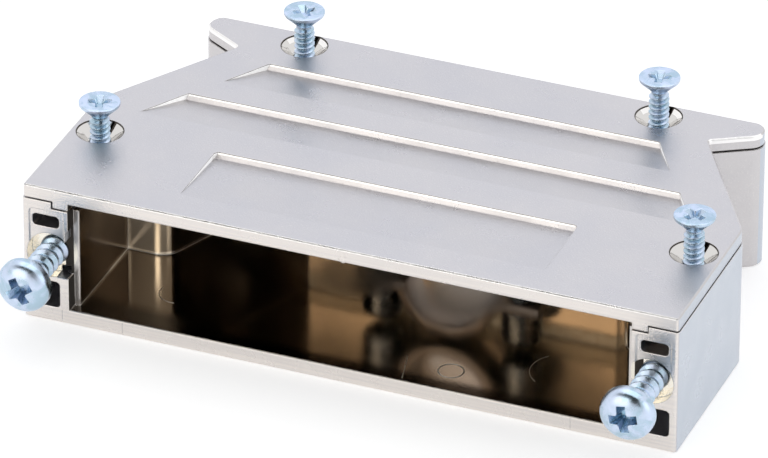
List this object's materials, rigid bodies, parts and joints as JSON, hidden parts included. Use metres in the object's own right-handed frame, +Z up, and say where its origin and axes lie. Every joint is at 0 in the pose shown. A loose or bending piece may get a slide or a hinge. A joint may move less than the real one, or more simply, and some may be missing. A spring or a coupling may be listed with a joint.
{
  "type": "d-sub hood",
  "caption": "Angular metal hood for a wide D-sub connector, with slanted sides, ear grips, a screwed-on cover, cable clamp and rear cable exit.",
  "frame": {"origin": "centre of the hood's underside, at mid-width and mid-depth of the base casting", "axes": "+X to the right seen from the connector side, +Y to the cable end, +Z up to the screwed cover"},
  "size_m": [0.0694, 0.0466, 0.0198],
  "materials": {
    "nickel_plate": "satin nickel plate on die-cast zinc",
    "blue_zinc": "blue-passivated zinc plate on steel",
    "saddle_steel": "plain zinc-plated strip"
  },
  "bodies": {
    "hood": {"base_shell": "nickel_plate", "top_cover": "nickel_plate"},
    "cover_screw_front_left": {"cover_screw_front_left": "blue_zinc"},
    "cover_screw_front_right": {"cover_screw_front_right": "blue_zinc"},
    "cover_screw_rear_left": {"cover_screw_rear_left": "blue_zinc"},
    "cover_screw_rear_right": {"cover_screw_rear_right": "blue_zinc"},
    "flange_screw_left": {"flange_screw_left": "blue_zinc"},
    "flange_screw_right": {"flange_screw_right": "blue_zinc"},
    "strain_relief": {"cable_saddle": "saddle_steel", "saddle_screw_left": "blue_zinc", "saddle_screw_right": "blue_zinc"}
  },
  "joints": [
    {"name": "cover_screw_front_left_drive", "type": "slide", "parent": "hood", "child": "cover_screw_front_left", "axis": [0, 0, -1], "range_m": [-0.0015, 0.00345]},
    {"name": "cover_screw_front_right_drive", "type": "slide", "parent": "hood", "child": "cover_screw_front_right", "axis": [0, 0, -1], "range_m": [-0.0015, 0.00435]},
    {"name": "cover_screw_rear_left_drive", "type": "slide", "parent": "hood", "child": "cover_screw_rear_left", "axis": [0, 0, -1], "range_m": [-0.0015, 0.0041]},
    {"name": "cover_screw_rear_right_drive", "type": "slide", "parent": "hood", "child": "cover_screw_rear_right", "axis": [0, 0, -1], "range_m": [-0.0015, 0.0046]},
    {"name": "flange_screw_left_drive", "type": "slide", "parent": "hood", "child": "flange_screw_left", "axis": [0, 1, 0], "range_m": [-0.0015, 0.0055]},
    {"name": "flange_screw_right_drive", "type": "slide", "parent": "hood", "child": "flange_screw_right", "axis": [0, 1, 0], "range_m": [-0.0015, 0.0055]},
    {"name": "strain_relief_clamp", "type": "slide", "parent": "hood", "child": "strain_relief", "axis": [0, 0, -1], "range_m": [0, 0.0018]}
  ]
}
